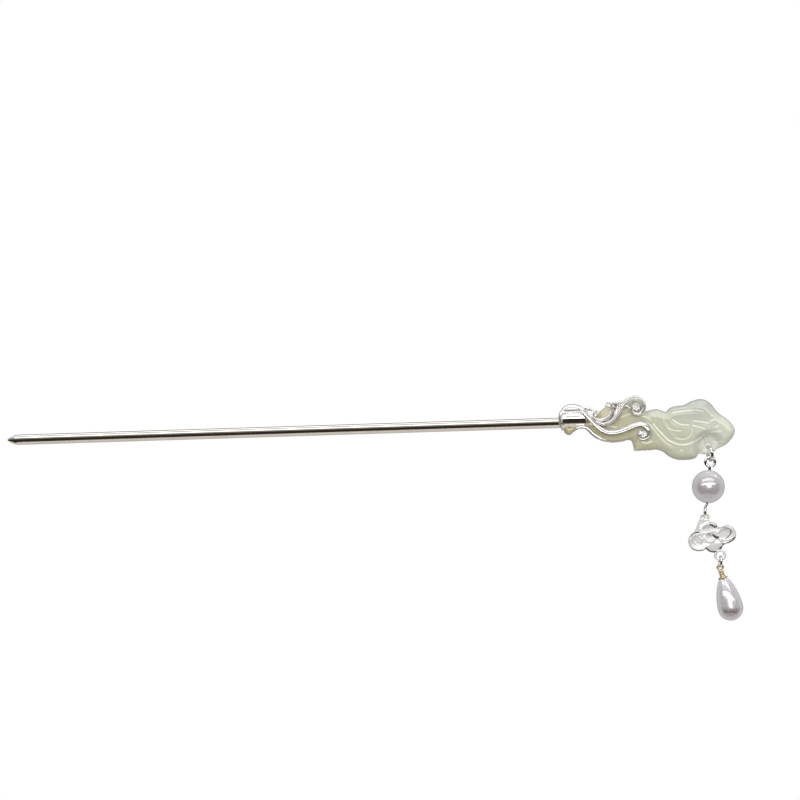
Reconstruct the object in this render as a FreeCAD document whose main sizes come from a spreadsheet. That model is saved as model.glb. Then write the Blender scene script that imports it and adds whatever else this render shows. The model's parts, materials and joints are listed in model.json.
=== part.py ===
import FreeCAD, Part
import math
import os
from FreeCAD import Placement, Rotation, Vector

# Decorative hair pin. The stick lies along X with its tip at -X; +Z is up and the
# pendant hangs towards -Z. The origin is on the stick's axis at the ferrule's face.

DIMS = dict(
    stick_dia=2.5, stick_straight=131.9, tip_taper=2.6, tip_dia=0.6, tang_square=1.8, tang_depth=5.0,
    ferrule_dia=4.8, ferrule_width=6.4, ferrule_offset=0.75, ferrule_round=0.9, fit_gap=0.02,
    strip_deep=1.0, front_face=2.4, jade_deep=4.8, bridge_deep=0.8,
    ear_deep=1.5, ear_clear=3.6, ear_hole_dia=1.8,
    ring_mean=1.75, ring_wire=0.375, ring_split=2.5,
    pin_wire=0.35, pin_loop=1.15, pin_drop=13.25, pearl_rad=4.0, pearl_hole=0.40,
    bail_wire=0.3, bail_mean=0.86, charm_deep=1.6, foot_wire=0.35, foot_mean=1.15,
    link_mean=1.2, link_wire=0.3,
    gold_wire=0.25, gold_loop=0.68, gold_shank=7.4, wrap_mean=0.44, seat_mean=0.85,
    drop_rad=3.1, drop_top=3.75, drop_belly=10.9, drop_neck=1.2, drop_bore=0.27, drop_bore_deep=5.2,
)

doc = FreeCAD.newDocument("HairPin")
sheet = doc.addObject("Spreadsheet::Sheet", "Dims")
for row, (alias, value) in enumerate(DIMS.items(), start=1):
    sheet.set(f"A{row}", alias)
    sheet.set(f"B{row}", str(value))
    sheet.setAlias(f"B{row}", alias)
doc.recompute()
D = DIMS

ABOUT_X = Rotation(Vector(1, 0, 0), 90)
ALONG_X = Rotation(Vector(0, 1, 0), 90)


def bind(obj, **sizes):
    """Drive properties from the sheet; expressions name the sheet's cells."""
    for prop, expression in sizes.items():
        for alias in D:
            expression = expression.replace(f"<{alias}>", f"Dims.{alias}")
        obj.setExpression(prop, expression)
    return obj


def add(kind, name, place=None, **sizes):
    obj = doc.addObject(kind, name)
    if place is not None:
        obj.Placement = place
    return bind(obj, **sizes)


def cylinder(name, radius, height, place):
    return add("Part::Cylinder", name, place, Radius=radius, Height=height)


def torus(name, mean, wire, place):
    return add("Part::Torus", name, place, Radius1=mean, Radius2=wire)


def fuse(name, shapes):
    joined = doc.addObject("Part::MultiFuse", name)
    joined.Shapes = shapes
    return joined


def cut(name, base, tool):
    made = doc.addObject("Part::Cut", name)
    made.Base, made.Tool = base, tool
    return made


# ---- flat outlines made of tangent arcs -------------------------------------------

def heading_vector(angle):
    return Vector(math.cos(angle), math.sin(angle), 0)


def arc_nodes(stations):
    """Turn (x, z, heading) stations into nodes joined by pairs of tangent arcs."""
    nodes = [(Vector(stations[0][0], stations[0][1], 0), math.radians(stations[0][2]))]
    for x, z, degrees in stations[1:]:
        start, a0 = nodes[-1]
        end, a1 = Vector(x, z, 0), math.radians(degrees)
        t0, t1 = heading_vector(a0), heading_vector(a1)
        span = end - start
        along = span.dot(t0 + t1)
        spread = 2 * (1 - t0.dot(t1))
        if spread > 1e-6:
            reach = (math.sqrt(along ** 2 + spread * span.dot(span)) - along) / spread
        else:
            reach = span.dot(span) / (2 * span.dot(t1))
        middle = (start + end + (t0 - t1) * reach) * 0.5
        chord = middle - start
        nodes.append((middle, 2 * math.atan2(chord.y, chord.x) - a0))
        nodes.append((end, a1))
    return nodes


def tangent_arc(start, angle, end):
    chord = end - start
    turn = math.atan2(chord.y, chord.x) - angle
    turn = (turn + math.pi) % (2 * math.pi) - math.pi
    if abs(turn) < 1e-4:
        return Part.makeLine(start, end)
    radius = chord.Length / (2 * math.sin(turn))
    normal = Vector(-math.sin(angle), math.cos(angle), 0)
    centre = start + normal * radius
    half = heading_vector(angle + turn)
    middle = centre + Vector(half.y, -half.x, 0) * radius
    return Part.Arc(start, middle, end).toShape()


def ribbon_wire(stations, width):
    """Closed outline of a strip of even width with round ends."""
    nodes = arc_nodes(stations)
    sides = []
    for sign in (1, -1):
        side = []
        for point, angle in nodes:
            normal = Vector(-math.sin(angle), math.cos(angle), 0)
            side.append((point + normal * (sign * width / 2), angle))
        sides.append(side)
    left, right = sides
    edges = [tangent_arc(a[0], a[1], b[0]) for a, b in zip(left, left[1:])]
    edges.append(end_cap(nodes[-1], width, 1))
    edges += [tangent_arc(a[0], a[1], b[0]) for a, b in zip(right, right[1:])]
    edges.append(end_cap(nodes[0], width, -1))
    return Part.Wire(Part.__sortEdges__(edges))


def end_cap(node, width, sign):
    point, angle = node
    normal = Vector(-math.sin(angle), math.cos(angle), 0) * (width / 2)
    nose = point + heading_vector(angle) * (sign * width / 2)
    return Part.Arc(point + normal, nose, point - normal).toShape()


def pad(name, wire, front, depth):
    """Body whose sketch holds the wire, padded between two depths (Y runs away)."""
    body = doc.addObject("PartDesign::Body", name)
    sketch = body.newObject("Sketcher::SketchObject", name + "_outline")
    plane = next(f for f in body.Origin.OriginFeatures if f.Role == "XZ_Plane")
    sketch.AttachmentSupport = [(plane, "")]
    sketch.MapMode = "FlatFace"
    # the plane's normal is -Y, so a positive offset moves towards the front
    bind(sketch, **{".AttachmentOffset.Base.z": f"{front} - {depth}"})
    for edge in wire.Edges:
        curve = edge.Curve
        first, last = edge.ParameterRange
        if isinstance(curve, Part.Circle):
            if abs(last - first - 2 * math.pi) < 1e-9:
                sketch.addGeometry(curve, False)
            else:
                sketch.addGeometry(Part.ArcOfCircle(curve, first, last), False)
        else:
            a, b = edge.valueAt(first), edge.valueAt(last)
            sketch.addGeometry(Part.LineSegment(a, b), False)
    doc.recompute()
    feature = body.newObject("PartDesign::Pad", name + "_pad")
    feature.Profile = sketch
    bind(feature, Length=depth)
    body.Tip = feature
    doc.recompute()
    return body


# ---- stick and ferrule ---------------------------------------------------------------

LEFT = Rotation(Vector(0, 1, 0), -90)
shank = cylinder("shank", "<stick_dia> / 2", "<stick_straight>", Placement(Vector(0, 0, 0), LEFT))
half_tang = D["tang_square"] / 2
tang = add("Part::Box", "tang", Placement(Vector(-1, -half_tang, -half_tang), Rotation()),
           Length="<tang_depth> + 1", Width="<tang_square>", Height="<tang_square>")
point = add("Part::Cone", "point", Placement(Vector(-D["stick_straight"], 0, 0), LEFT),
            Radius1="<stick_dia> / 2", Radius2="<tip_dia> / 2", Height="<tip_taper>")
stick = fuse("stick", [tang, shank, point])

barrel = cylinder("barrel", "<ferrule_dia> / 2", "<ferrule_width>",
                  Placement(Vector(0, 0, D["ferrule_offset"]), ALONG_X))
doc.recompute()
domed = doc.addObject("Part::Fillet", "domed_barrel")
domed.Base = barrel
rims = [i for i, e in enumerate(barrel.Shape.Edges, start=1)
        if isinstance(e.Curve, Part.Circle) and e.BoundBox.XMin > D["ferrule_width"] - 0.1]
domed.Edges = [(i, D["ferrule_round"], D["ferrule_round"]) for i in rims]
half_socket = half_tang + D["fit_gap"]
socket = add("Part::Box", "socket", Placement(Vector(-1, -half_socket, -half_socket), Rotation()),
             Length="<tang_depth> + 1 + <fit_gap>", Width="<tang_square> + 2 * <fit_gap>",
             Height="<tang_square> + 2 * <fit_gap>")
ferrule = cut("ferrule", domed, socket)

# ---- scroll strips on the front of the jade ----------------------------------------------

MAIN_PATH = [(0.1, -1.7, 118), (-0.6, 0.8, 86), (1.9, 4.1, 4), (4.6, 3.3, -40), (6.5, 1.1, -52),
             (8.7, -1.2, -44), (12.0, -2.6, -2), (15.5, -1.85, 20), (17.8, -1.0, 16),
             (19.6, -0.8, -22), (20.9, -2.6, -97), (19.5, -4.4, 178), (18.5, -3.4, 80), (19.2, -2.7, 0)]
UPPER_PATH = [(9.6, -0.4, -14), (10.6, -0.42, 8), (12.2, 0.3, 46), (13.5, 1.9, 58), (14.9, 4.0, 53),
              (16.3, 5.1, 30), (18.0, 5.5, -10), (19.5, 4.4, -62), (19.8, 2.8, -100),
              (18.4, 1.5, 176), (17.1, 2.6, 93), (18.0, 3.8, 5), (18.75, 3.1, -75)]
LEAF_PATH = [(8.8, 2.2, 158), (7.9, 1.3, -92), (9.6, 0.5, 3), (11.5, 1.4, 53), (12.1, 3.1, 90),
             (11.3, 4.3, 178), (10.7, 3.6, -72)]
BRIDGE_PATH = [(12.9, 2.0, 75), (13.2, 4.2, 90)]
JADE_EDGE = [(0.4, -0.9), (0.5, -2.5), (1.4, -3.0), (2.9, -2.2), (4.3, -1.8), (5.8, -2.0), (7.2, -3.4),
             (8.6, -4.2), (10.0, -4.7), (11.5, -5.0), (13.0, -5.1), (15.9, -4.8), (16.9, -5.2),
             (17.2, -7.2), (18.7, -7.4), (22.9, -7.3), (24.5, -8.3), (25.9, -9.3), (28.8, -9.9),
             (30.8, -9.9), (32.0, -9.2), (33.6, -8.1)]
EAR_EDGE = [(35.3, -8.9), (37.0, -8.1)]
NOSE_EDGE = [(37.9, -7.3), (39.1, -6.7), (40.6, -5.3), (41.9, -3.1), (40.6, -1.1), (39.1, 0.2),
             (37.8, 1.5), (36.6, 3.1), (35.2, 4.1), (33.4, 4.6), (30.3, 4.1), (27.4, 3.2), (25.9, 2.9),
             (24.5, 2.2), (23.1, 2.6), (20.6, 2.2), (19.9, 4.6), (18.2, 5.6), (16.2, 5.2), (14.8, 4.2),
             (12.4, 3.9), (10.8, 3.8), (9.2, 3.0), (8.2, 1.6), (6.6, 0.6), (6.5, -0.9)]

main_scroll = pad("main_scroll", ribbon_wire(MAIN_PATH, 1.0), "<front_face> + <strip_deep>", "<strip_deep>")
upper_scroll = pad("upper_scroll", ribbon_wire(UPPER_PATH, 0.9), "<front_face> + <strip_deep>", "<strip_deep>")
leaf_scroll = pad("leaf_scroll", ribbon_wire(LEAF_PATH, 0.7), "<front_face> + <strip_deep>", "<strip_deep>")
bridge_pad = pad("bridge_strip", ribbon_wire(BRIDGE_PATH, 1.3), "<front_face> + <bridge_deep>", "<bridge_deep>")
scroll_bridge = cut("scroll_bridge", bridge_pad, fuse("bridge_neighbours", [upper_scroll, leaf_scroll]))

# ---- jade carving -------------------------------------------------------------------------

outline = [Vector(x, z, 0) for x, z in JADE_EDGE]
ear = [Vector(x, z, 0) for x, z in EAR_EDGE]
nose = [Vector(x, z, 0) for x, z in NOSE_EDGE]
jade_edges = [Part.makeLine(a, b) for a, b in zip(outline, outline[1:])]
jade_edges.append(Part.Arc(outline[-1], ear[0], ear[1]).toShape())
jade_edges += [Part.makeLine(a, b) for a, b in zip([ear[1]] + nose, nose + [outline[0]])]
slab = pad("jade_slab", Part.Wire(jade_edges), "<jade_deep> / 2", "<jade_deep>")

RING_PIVOT = Vector(35.3, 0, -6.75)
TOWARDS_BACK = Rotation(Vector(1, 0, 0), -90)
channel = cylinder("channel", "<ferrule_dia> / 2 + <fit_gap>", "<ferrule_width> + 1 + <fit_gap>",
                   Placement(Vector(-1, 0, D["ferrule_offset"]), ALONG_X))
ear_hole = cylinder("ear_hole", "<ear_hole_dia> / 2", "8",
                    Placement(RING_PIVOT + Vector(0, -4, 0), TOWARDS_BACK))
reliefs = [cylinder(name, "<ear_clear>", "3", Placement(RING_PIVOT + Vector(0, y, 0), TOWARDS_BACK))
           for name, y in (("front_relief", -3 - D["ear_deep"] / 2), ("back_relief", D["ear_deep"] / 2))]
jade_carving = cut("jade_carving", slab, fuse("jade_cuts", [channel, ear_hole] + reliefs))

# ---- pendant: each link is built hanging from its own top wire, then placed -----------------


def hang(top, lean, yaw=0.0):
    """Frame of a link: lean turns its foot towards +X, yaw turns it about its length."""
    return Placement(top, Rotation(Vector(0, 1, 0), -lean).multiply(Rotation(Vector(0, 0, 1), yaw)))


def within(frame, x=0.0, y=0.0, z=0.0, turn=None):
    return frame.multiply(Placement(Vector(x, y, z), turn or Rotation()))


FACING = ABOUT_X
EDGE_ON = ALONG_X

ring_frame = hang(RING_PIVOT, 8.0, 15.0)
jump_ring = torus("jump_ring", "<ring_mean>", "<ring_wire>",
                  within(ring_frame, z=-D["ring_mean"], turn=EDGE_ON.multiply(Rotation(Vector(0, 0, 1), 80))))
bind(jump_ring, Angle3="360 - <ring_split>")

play = 0.04
pin_top = within(ring_frame, z=-2 * D["ring_mean"] + D["ring_wire"] + D["pin_wire"] + play).Base
pin_frame = hang(pin_top, -6.0)
bend = -0.35
neck_top, neck_foot = -2 * D["pin_loop"], -D["pin_drop"] + D["pin_loop"]
eye_pin = fuse("eye_pin", [
    torus("pin_head_loop", "<pin_loop>", "<pin_wire>", within(pin_frame, z=-D["pin_loop"], turn=FACING)),
    torus("pin_foot_loop", "<pin_loop>", "<pin_wire>", within(pin_frame, x=bend, z=-D["pin_drop"], turn=EDGE_ON)),
    cylinder("pin_shaft", "<pin_wire>", "<pin_drop> - 3 * <pin_loop> - 0.3",
             within(pin_frame, z=neck_foot + 0.3)),
    cylinder("pin_crook", "<pin_wire>", "0.46", within(pin_frame, x=bend, z=neck_foot,
                                                       turn=Rotation(Vector(0, 1, 0), 49.4))),
])
pearl_centre = -7.15
ball = add("Part::Sphere", "pearl_ball", within(pin_frame, z=pearl_centre), Radius="<pearl_rad>")
bore = cylinder("pearl_bore", "<pearl_hole>", "2 * <pearl_rad> + 2",
                within(pin_frame, z=pearl_centre - D["pearl_rad"] - 1))
round_pearl = cut("round_pearl", ball, bore)

foot_wire_at = within(pin_frame, x=bend, z=-D["pin_drop"] - D["pin_loop"]).Base
bail_gap = D["bail_mean"] - D["bail_wire"] - D["pin_wire"] - play
charm_lean = 20.0
bail_centre = within(hang(foot_wire_at, charm_lean), z=-bail_gap).Base
charm_frame = hang(bail_centre, charm_lean)
foot_drop = 9.9
PETALS = [("core", 0.3, -5.3, 2.1), ("top_petal", -0.15, -2.85, 1.85), ("low_petal", -0.2, -7.0, 1.7),
          ("left_petal", -3.6, -5.35, 2.0), ("right_petal", 3.3, -5.6, 2.05)]
lobes = [cylinder(name, str(radius), "<charm_deep>",
                  within(charm_frame, x=x, y=D["charm_deep"] / 2, z=z, turn=ABOUT_X))
         for name, x, z, radius in PETALS]
webs = [add("Part::Box", name, within(charm_frame, x=x, y=-D["charm_deep"] / 2, z=z),
            Length=str(length), Width="<charm_deep>", Height=str(height))
        for name, x, z, length, height in (("waist", -3.6, -6.6, 6.9, 2.3), ("foot_web", -0.5, -9.0, 1.0, 2.4))]
flower_connector = fuse("flower_connector", lobes + webs + [
    torus("bail", "<bail_mean>", "<bail_wire>", within(charm_frame, turn=FACING)),
    torus("foot_loop", "<foot_mean>", "<foot_wire>", within(charm_frame, z=-foot_drop, turn=FACING)),
])

charm_foot = -foot_drop - D["foot_mean"]
link_top = within(charm_frame, z=charm_foot + D["foot_wire"] + D["link_wire"] + play).Base
link_frame = hang(link_top, -6.0, 8.0)
lower_ring = torus("lower_ring", "<link_mean>", "<link_wire>",
                   within(link_frame, z=-D["link_mean"], turn=EDGE_ON.multiply(Rotation(Vector(0, 0, 1), 80))))
bind(lower_ring, Angle3="360 - <ring_split>")

link_foot = within(link_frame, z=-2 * D["link_mean"]).Base
drop_lean = 12.5
gold_top = within(hang(link_foot, drop_lean), z=D["link_wire"] + D["gold_wire"] + play).Base
drop_frame = hang(gold_top, drop_lean)
first_wrap = -2 * D["gold_loop"] - D["gold_wire"]
seat = -D["drop_top"] + D["gold_wire"]
wraps = [torus(f"wrap_{n}", "<wrap_mean>", "<gold_wire>", within(drop_frame, z=first_wrap - 0.45 * n))
         for n in range(4)]
wire_wrap = fuse("wire_wrap", wraps + [
    torus("wrap_seat", "<seat_mean>", "<gold_wire>", within(drop_frame, z=seat)),
    cylinder("wrap_turn", "<seat_mean>", "0.3", within(drop_frame, z=seat - 0.15)),
    torus("gold_eye", "<gold_loop>", "<gold_wire>",
          within(drop_frame, z=-D["gold_loop"], turn=FACING.multiply(Rotation(Vector(0, 0, 1), 40)))),
    cylinder("gold_peg", "<gold_wire>", "<gold_shank> - 2 * <gold_loop>", within(drop_frame, z=-D["gold_shank"])),
])

belly, neck, tip = D["drop_belly"], D["drop_neck"], D["drop_top"]
radius = D["drop_rad"]
flank_reach = belly - tip
flank_radius = (flank_reach ** 2 + (radius - neck) ** 2) / (2 * (radius - neck))
half_turn = math.asin(flank_reach / flank_radius) / 2
profile = [
    Part.Arc(Vector(neck, 0, -tip),
             Vector(radius - flank_radius * (1 - math.cos(half_turn)), 0, -belly + flank_radius * math.sin(half_turn)),
             Vector(radius, 0, -belly)).toShape(),
    Part.Arc(Vector(radius, 0, -belly), Vector(radius * math.sin(0.8), 0, -belly - radius * math.cos(0.8)),
             Vector(0, 0, -belly - radius)).toShape(),
    Part.makeLine(Vector(0, 0, -belly - radius), Vector(0, 0, -tip)),
    Part.makeLine(Vector(0, 0, -tip), Vector(neck, 0, -tip)),
]
drop_profile = doc.addObject("Part::Feature", "drop_profile")
drop_profile.Shape = Part.Face(Part.Wire(profile))
drop_solid = doc.addObject("Part::Revolution", "drop_solid")
drop_solid.Source = drop_profile
drop_solid.Axis, drop_solid.Base, drop_solid.Angle, drop_solid.Solid = Vector(0, 0, 1), Vector(0, 0, 0), 360, True
drop_solid.Placement = drop_frame
drop_bore = cylinder("drop_bore_tool", "<drop_bore>", "<drop_bore_deep>",
                     within(drop_frame, z=-tip - D["drop_bore_deep"] + 1))
drop_pearl = cut("drop_pearl", drop_solid, drop_bore)

# ---- check and write -------------------------------------------------------------------------

NODES = [stick, ferrule, main_scroll, upper_scroll, leaf_scroll, scroll_bridge, jade_carving, jump_ring,
         eye_pin, round_pearl, flower_connector, lower_ring, wire_wrap, drop_pearl]
os.makedirs("parts", exist_ok=True)
doc.recompute()
for obj in doc.Objects:
    if "Invalid" in obj.State or "Error" in obj.State:
        raise RuntimeError(f"{obj.Label}: {obj.State}")
for node in NODES:
    shape = node.Shape
    if shape.isNull() or not shape.isValid():
        raise RuntimeError(f"{node.Label}: bad shape")
    if len(shape.Solids) != 1:
        print(node.Label, "solids", len(shape.Solids))
    shape.exportStep(f"parts/{node.Label}.step")
    box = shape.BoundBox
    print(f"{node.Label:18s} vol {shape.Volume:9.3f}  x {box.XMin:8.2f} {box.XMax:8.2f}"
          f"  y {box.YMin:6.2f} {box.YMax:6.2f}  z {box.ZMin:7.2f} {box.ZMax:7.2f}")
for label, place in (("ring", ring_frame), ("pin", pin_frame), ("charm", charm_frame), ("link", link_frame),
                     ("drop", drop_frame)):
    print(label, [round(v, 3) for v in place.Base], [round(v, 4) for v in place.Rotation.multVec(Vector(0, 0, -1))])
print("pin foot", foot_wire_at, "charm foot", within(charm_frame, z=charm_foot).Base,
      "ring foot", within(ring_frame, z=-2 * D["ring_mean"]).Base, "link foot", within(link_frame, z=-2 * D["link_mean"]).Base)
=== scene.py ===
import json
import math

import bpy
import numpy as np
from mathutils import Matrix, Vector

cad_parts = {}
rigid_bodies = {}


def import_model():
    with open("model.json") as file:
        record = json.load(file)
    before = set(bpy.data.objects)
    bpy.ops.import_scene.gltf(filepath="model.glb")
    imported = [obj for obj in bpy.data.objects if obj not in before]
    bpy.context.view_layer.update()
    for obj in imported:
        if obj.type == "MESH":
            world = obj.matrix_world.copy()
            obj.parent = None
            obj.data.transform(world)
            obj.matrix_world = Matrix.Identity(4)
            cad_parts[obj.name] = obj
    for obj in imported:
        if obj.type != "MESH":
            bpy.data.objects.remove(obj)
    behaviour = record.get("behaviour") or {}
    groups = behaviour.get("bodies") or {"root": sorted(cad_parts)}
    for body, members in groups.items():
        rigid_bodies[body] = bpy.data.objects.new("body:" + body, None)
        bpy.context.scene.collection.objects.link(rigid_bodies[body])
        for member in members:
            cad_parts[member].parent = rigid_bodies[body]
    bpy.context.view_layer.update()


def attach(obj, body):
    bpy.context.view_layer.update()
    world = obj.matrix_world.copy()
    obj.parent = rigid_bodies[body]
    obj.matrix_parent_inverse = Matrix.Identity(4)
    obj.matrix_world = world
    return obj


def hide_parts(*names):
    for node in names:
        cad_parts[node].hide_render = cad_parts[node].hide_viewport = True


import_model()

# ---------------------------------------------------------------- driving sizes, in millimetres

MM = 0.001
FRONT = 2.4                                 # from the stick's axis to the front face of the jade's root
STICK_TIP, STICK_SHOULDER, STICK_RADIUS = -134.5, -131.9, 1.25
BARREL_RADIUS, BARREL_LENGTH, BARREL_END, BARREL_RISE = 2.4, 5.2, 6.4, 0.75
JUMP_RING_MEAN, JUMP_RING_WIRE = 1.75, 0.375
LOWER_RING_MEAN, LOWER_RING_WIRE = 1.2, 0.3
EYE_MEAN, EYE_WIRE, FOOT_LOOP_MEAN, FOOT_LOOP_WIRE = 1.15, 0.35, 1.21, 0.29
PEARL_RADIUS, PEARL_BORE, PEARL_CENTRE = 4.0, 0.42, -7.15
BAIL_MEAN, BAIL_WIRE, CHARM_FOOT_MEAN, CHARM_FOOT_WIRE, CHARM_FOOT_DOWN = 0.86, 0.3, 1.15, 0.35, 9.9
GOLD_LOOP_MEAN, GOLD_WIRE = 0.68, 0.25
DROP_TOP, DROP_BELLY, DROP_NECK, DROP_RADIUS = 3.75, 10.9, 1.2, 3.1


# ---------------------------------------------------------------- mesh helpers

def add_piece(name, parts, material, body, nodes=(), smooth_angle=40):
    """One object from (vertices in mm, faces, material index) parts, riding on a body."""
    verts, faces, marks = [], [], []
    for part in parts:
        start = len(verts)
        verts += [tuple(float(c) * MM for c in v) for v in part[0]]
        faces += [tuple(start + i for i in f) for f in part[1]]
        marks += [part[2] if len(part) > 2 else 0] * len(part[1])
    mesh = bpy.data.meshes.new(name)
    mesh.from_pydata(verts, [], faces)
    for m in material if isinstance(material, (list, tuple)) else [material]:
        mesh.materials.append(m)
    mesh.polygons.foreach_set("material_index", marks)
    mesh.validate()
    mesh.update()
    mesh.shade_smooth()
    mesh.set_sharp_from_angle(angle=math.radians(smooth_angle))
    obj = bpy.data.objects.new(name, mesh)
    bpy.context.scene.collection.objects.link(obj)
    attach(obj, body)
    if nodes:
        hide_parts(*nodes)
    return obj


def unit(v):
    """Vectors at length one."""
    return v / (np.linalg.norm(v, axis=-1, keepdims=True) + 1e-12)


def smooth_path(points, steps=8, closed=False):
    """Catmull-Rom curve through a few points."""
    p = np.array(points, float)
    n = len(p)
    out = []
    spans = n if closed else n - 1
    for i in range(spans):
        a, b, c, d = (p[(i + k) % n] if closed else p[min(max(i + k, 0), n - 1)] for k in (-1, 0, 1, 2))
        for t in np.arange(steps) / steps:
            out.append(0.5 * (2 * b + (c - a) * t + (2 * a - 5 * b + 4 * c - d) * t * t
                              + (3 * b - a - 3 * c + d) * t ** 3))
    if not closed:
        out.append(p[-1])
    return np.array(out)


def even(path, gap):
    """The same path with its points evenly spaced."""
    seg = np.linalg.norm(np.diff(path, axis=0), axis=1)
    run = np.r_[0, np.cumsum(seg)]
    n = max(2, int(round(run[-1] / gap)) + 1)
    s = np.linspace(0, run[-1], n)
    return np.stack([np.interp(s, run, path[:, k]) for k in range(path.shape[1])], 1)


def rings_to_faces(count, around, closed):
    """Quads between rings of points, with end caps when the run is open."""
    faces = []
    for i in range(count if closed else count - 1):
        j = (i + 1) % count
        for k in range(around):
            m = (k + 1) % around
            faces.append((i * around + k, i * around + m, j * around + m, j * around + k))
    if not closed:
        faces.append(tuple(range(around - 1, -1, -1)))
        faces.append(tuple((count - 1) * around + k for k in range(around)))
    return faces


def tube(path, radius, around=14, closed=False):
    """Round wire along a 3-D path; radius may vary along it."""
    path = np.array(path, float)
    n = len(path)
    radius = np.broadcast_to(np.array(radius, float), (n,))
    ahead = unit(np.roll(path, -1, 0) - np.roll(path, 1, 0)) if closed else unit(np.gradient(path, axis=0))
    side = np.cross(ahead[0], [0.31, 0.86, 0.4])
    side /= np.linalg.norm(side)
    sides = []
    for t in ahead:
        side = side - t * np.dot(side, t)
        side /= np.linalg.norm(side)
        sides.append(side)
    sides = np.array(sides)
    if closed:      # spread the twist left at the seam along the ring
        last = sides[-1] - ahead[0] * np.dot(sides[-1], ahead[0])
        twist = math.atan2(np.dot(np.cross(last, sides[0]), ahead[0]), np.dot(last, sides[0]))
        turn = np.linspace(0, twist, n, endpoint=False)[:, None]
        sides = sides * np.cos(turn) + np.cross(ahead, sides) * np.sin(turn)
    ups = np.cross(ahead, sides)
    angle = np.linspace(0, 2 * math.pi, around, endpoint=False)
    ring = (sides[:, None] * np.cos(angle)[None, :, None] + ups[:, None] * np.sin(angle)[None, :, None])
    verts = (path[:, None] + ring * radius[:, None, None]).reshape(-1, 3)
    return verts, rings_to_faces(n, around, closed)


def lathe(profile, frame_=None, around=96):
    """Surface of revolution about the local Z axis from (radius, z) pairs."""
    angle = np.linspace(0, 2 * math.pi, around, endpoint=False)
    verts = np.array([(r * math.cos(a), r * math.sin(a), z) for r, z in profile for a in angle])
    faces = rings_to_faces(len(profile), around, False)
    if frame_ is not None:
        verts = place(frame_, verts)
    return verts, faces


def ball(centre, radii, rows=20, around=32):
    """Ellipsoid from a lathed half circle."""
    profile = [(math.sin(t), -math.cos(t)) for t in np.linspace(0.02, math.pi - 0.02, rows)]
    verts, faces = lathe(profile, None, around)
    return verts * np.array(radii) + np.array(centre), faces


def strip(path, width, height, base, section):
    """Ribbon lying on a plane of constant Y: section is (across, outwards) in -1..1 and 0..1."""
    path = np.array(path, float)
    n = len(path)
    ahead = unit(np.gradient(path, axis=0))
    normal = np.stack([-ahead[:, 1], ahead[:, 0]], 1)
    width = np.broadcast_to(np.array(width, float), (n,))
    height = np.broadcast_to(np.array(height, float), (n,))
    base = np.broadcast_to(np.array(base, float), (n,))
    verts = []
    for i in range(n):
        for a, h in section:
            x, z = path[i] + normal[i] * a * width[i] / 2
            verts.append((x, -(base[i] + h * height[i]), z))
    return np.array(verts), rings_to_faces(n, len(section), False)


def along(path, *knots):
    """Values at fractions of the path's length, straight between knots."""
    run = np.r_[0, np.cumsum(np.linalg.norm(np.diff(path, axis=0), axis=1))]
    t = run / run[-1]
    return np.interp(t, [k for k, _ in knots], [v for _, v in knots])


# ---------------------------------------------------------------- frames of the hanging links

class Frame:
    """A link's own axes: origin at its upper loop, leaning in the X-Z plane, turned about its length."""

    def __init__(self, origin, lean, yaw=0.0):
        a, y = math.radians(lean), math.radians(yaw)
        self.origin = np.array(origin, float)
        tilt = np.array([[math.cos(a), 0, -math.sin(a)], [0, 1, 0], [math.sin(a), 0, math.cos(a)]])
        turn = np.array([[math.cos(y), -math.sin(y), 0], [math.sin(y), math.cos(y), 0], [0, 0, 1]])
        self.matrix = tilt @ turn


def place(f, verts):
    """Points of a link's own frame in the part's frame."""
    return np.array(verts) @ f.matrix.T + f.origin


RING = Frame((35.3, 0, -6.75), 8.0, 15.0)
PIN = Frame((35.681, 0, -9.458), -6.0)
CHARM = Frame((33.885, 0, -23.903), 20.0)
LINK = Frame((37.429, 0, -33.638), -6.0, 8.0)
DROP = Frame((37.05, 0, -35.449), 12.5)


# ---------------------------------------------------------------- materials

def nodes_of(name):
    """A new material, its node tree and its Principled shader."""
    mat = bpy.data.materials.new(name)
    mat.use_nodes = True
    tree = mat.node_tree
    return mat, tree, tree.nodes["Principled BSDF"]


def new(tree, kind, **values):
    """A node with the given properties or inputs set; _ stands for a space in an input's name."""
    node = tree.nodes.new(kind)
    for key, value in values.items():
        if hasattr(node, key):
            setattr(node, key, value)
        else:
            node.inputs[key.replace("_", " ")].default_value = value
    return node


def noise(tree, scale, detail=4.0, rough=0.55):
    """Noise fixed to the object."""
    coord = new(tree, "ShaderNodeTexCoord")
    tex = new(tree, "ShaderNodeTexNoise", Scale=scale, Detail=detail, Roughness=rough)
    tree.links.new(coord.outputs["Object"], tex.inputs["Vector"])
    return tex


def ramp(tree, source, stops):
    """Colours at positions, read by a value."""
    node = new(tree, "ShaderNodeValToRGB")
    cr = node.color_ramp
    while len(cr.elements) < len(stops):
        cr.elements.new(0.5)
    for e, (pos, colour) in zip(cr.elements, stops):
        e.position, e.color = pos, (*colour, 1) if len(colour) == 3 else colour
    tree.links.new(source, node.inputs["Fac"])
    return node


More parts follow.
